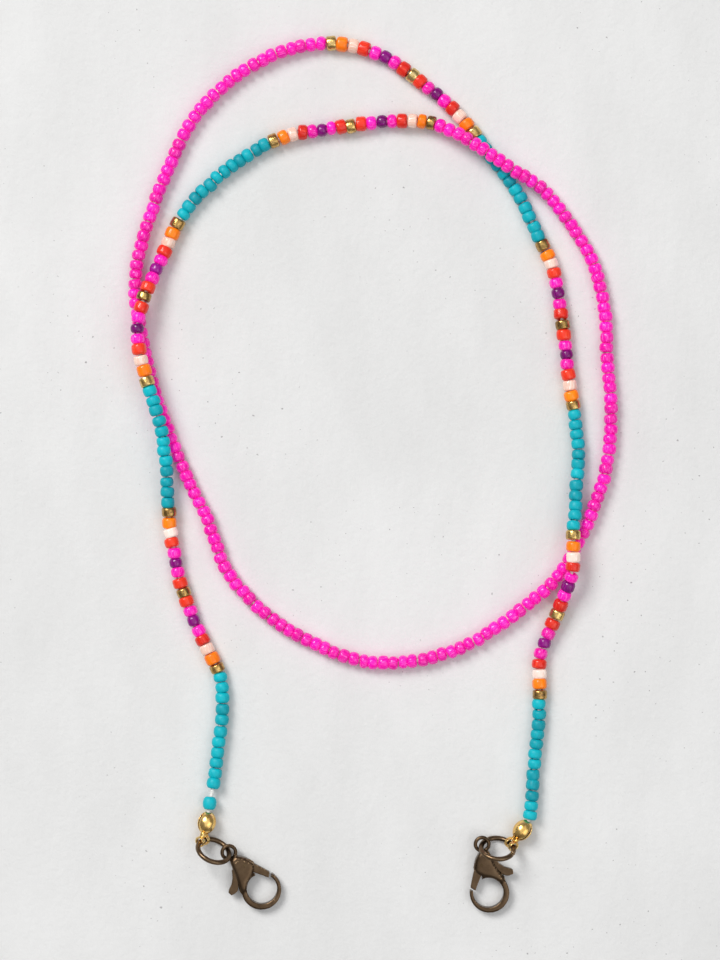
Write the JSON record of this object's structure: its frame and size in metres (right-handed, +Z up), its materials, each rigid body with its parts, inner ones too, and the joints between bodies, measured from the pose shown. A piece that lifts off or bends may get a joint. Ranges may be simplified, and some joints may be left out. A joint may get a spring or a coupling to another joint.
{
  "type": "eyeglass retainer strap",
  "caption": "Beaded strap that hangs eyeglasses round the neck, with a lobster clasp, jump ring and clamshell bead tip at each end.",
  "frame": {"origin": "middle of the bottom of the whole strap's box, on the surface that it lies on", "axes": "+Z up from the surface, +Y from the clasps towards the far end of the loop of strap, +X to the right"},
  "size_m": [0.098, 0.1752, 0.0065],
  "materials": {
    "thread": "white waxed beading thread",
    "turquoise_glass": "opaque turquoise glass, satin",
    "pink_glass": "bright pink lined glass, glossy",
    "red_glass": "opaque coral red glass, glossy",
    "orange_glass": "opaque orange glass, glossy",
    "violet_glass": "dark violet glass, glossy",
    "clear_glass": "clear glass with a faint pink tint",
    "metallic_glass": "bronze metallic coat over glass",
    "magenta_glass": "magenta glass",
    "gold_plate": "bright gold plate",
    "antique_brass": "antiqued brass, dark in the hollows",
    "antique_pin": "antiqued brass, turned",
    "spring_steel": "spring steel strip"
  },
  "bodies": {
    "strand": {"accent_1_brass": "metallic_glass", "accent_1_orange": "orange_glass", "accent_1_pink": "pink_glass", "accent_1_red": "red_glass", "accent_1_violet": "violet_glass", "accent_1_white": "clear_glass", "accent_2_brass": "metallic_glass", "accent_2_orange": "orange_glass", "accent_2_pink": "pink_glass", "accent_2_red": "red_glass", "accent_2_violet": "violet_glass", "accent_2_white": "clear_glass", "accent_3_brass": "metallic_glass", "accent_3_orange": "orange_glass", "accent_3_pink": "pink_glass", "accent_3_red": "red_glass", "accent_3_violet": "violet_glass", "accent_3_white": "clear_glass", "accent_4_brass": "metallic_glass", "accent_4_orange": "orange_glass", "accent_4_pink": "pink_glass", "accent_4_red": "red_glass", "accent_4_violet": "violet_glass", "accent_4_white": "clear_glass", "accent_5_brass": "metallic_glass", "accent_5_orange": "orange_glass", "accent_5_pink": "pink_glass", "accent_5_red": "red_glass", "accent_5_violet": "violet_glass", "accent_5_white": "clear_glass", "accent_6_brass": "metallic_glass", "accent_6_orange": "orange_glass", "accent_6_pink": "pink_glass", "accent_6_red": "red_glass", "accent_6_violet": "violet_glass", "accent_6_white": "clear_glass", "left_stopper_bead": "magenta_glass", "pink_1_beads": "pink_glass", "pink_2_beads": "pink_glass", "right_stopper_bead": "magenta_glass", "thread": "thread", "turquoise_1_beads": "turquoise_glass", "turquoise_2_beads": "turquoise_glass", "turquoise_3_beads": "turquoise_glass", "turquoise_4_beads": "turquoise_glass", "turquoise_5_beads": "turquoise_glass", "turquoise_6_beads": "turquoise_glass"},
    "left_end_bead": {"left_end_bead": "turquoise_glass"},
    "left_tip": {"left_bead_tip": "gold_plate"},
    "left_ring": {"left_jump_ring": "antique_brass"},
    "left_clasp": {"left_clasp_body": "antique_brass", "left_lever_pin": "antique_pin", "left_lever_spring": "spring_steel"},
    "left_lever": {"left_clasp_lever": "antique_brass"},
    "right_tip": {"right_bead_tip": "gold_plate"},
    "right_ring": {"right_jump_ring": "antique_brass"},
    "right_clasp": {"right_clasp_body": "antique_brass", "right_lever_pin": "antique_pin", "right_lever_spring": "spring_steel"},
    "right_lever": {"right_clasp_lever": "antique_brass"}
  },
  "joints": [
    {"name": "left_end_bead_slide", "type": "slide", "parent": "strand", "child": "left_end_bead", "axis": [0.1756, 0.9833, -0.0468], "range_m": [0, 0.0015]},
    {"name": "left_tip_swivel", "type": "hinge", "parent": "strand", "child": "left_tip", "pos_m": [-0.03275, -0.0675, 0.00185], "axis": [-0.2232, -0.9748, 0.0001], "continuous": true},
    {"name": "left_ring_swing", "type": "hinge", "parent": "left_tip", "child": "left_ring", "pos_m": [-0.03404, -0.07314, 0.00185], "axis": [-0.6472, -0.2383, 0.7241], "range_deg": [-20, 60]},
    {"name": "left_clasp_swing", "type": "hinge", "parent": "left_ring", "child": "left_clasp", "pos_m": [-0.02879, -0.0755, 0.00207], "axis": [0.1986, -0.6187, 0.7601], "range_deg": [-20, 90]},
    {"name": "left_lever_pivot", "type": "hinge", "parent": "left_clasp", "child": "left_lever", "pos_m": [-0.02565, -0.07792, 0.00174], "axis": [-0.0553, 0.0643, -0.9964], "range_deg": [0, 25], "stiffness_Nm_per_rad": 0.004, "springref_deg": -15, "deforming": ["left_lever_spring"]},
    {"name": "right_tip_swivel", "type": "hinge", "parent": "strand", "child": "right_tip", "pos_m": [0.0312, -0.0694, 0.00185], "axis": [-0.6222, -0.7828, 0.0001], "continuous": true},
    {"name": "right_ring_swing", "type": "hinge", "parent": "right_tip", "child": "right_ring", "pos_m": [0.02765, -0.07387, 0.00185], "axis": [-0.4773, 0.4977, -0.7243], "range_deg": [-20, 60]},
    {"name": "right_clasp_swing", "type": "hinge", "parent": "right_ring", "child": "right_clasp", "pos_m": [0.02179, -0.07382, 0.00229], "axis": [-0.3701, -0.4917, 0.7882], "range_deg": [-30, 10]},
    {"name": "right_lever_pivot", "type": "hinge", "parent": "right_clasp", "child": "right_lever", "pos_m": [0.02158, -0.07778, 0.0019], "axis": [0.0151, -0.0988, 0.995], "range_deg": [0, 25], "stiffness_Nm_per_rad": 0.004, "springref_deg": -15, "deforming": ["right_lever_spring"]}
  ]
}
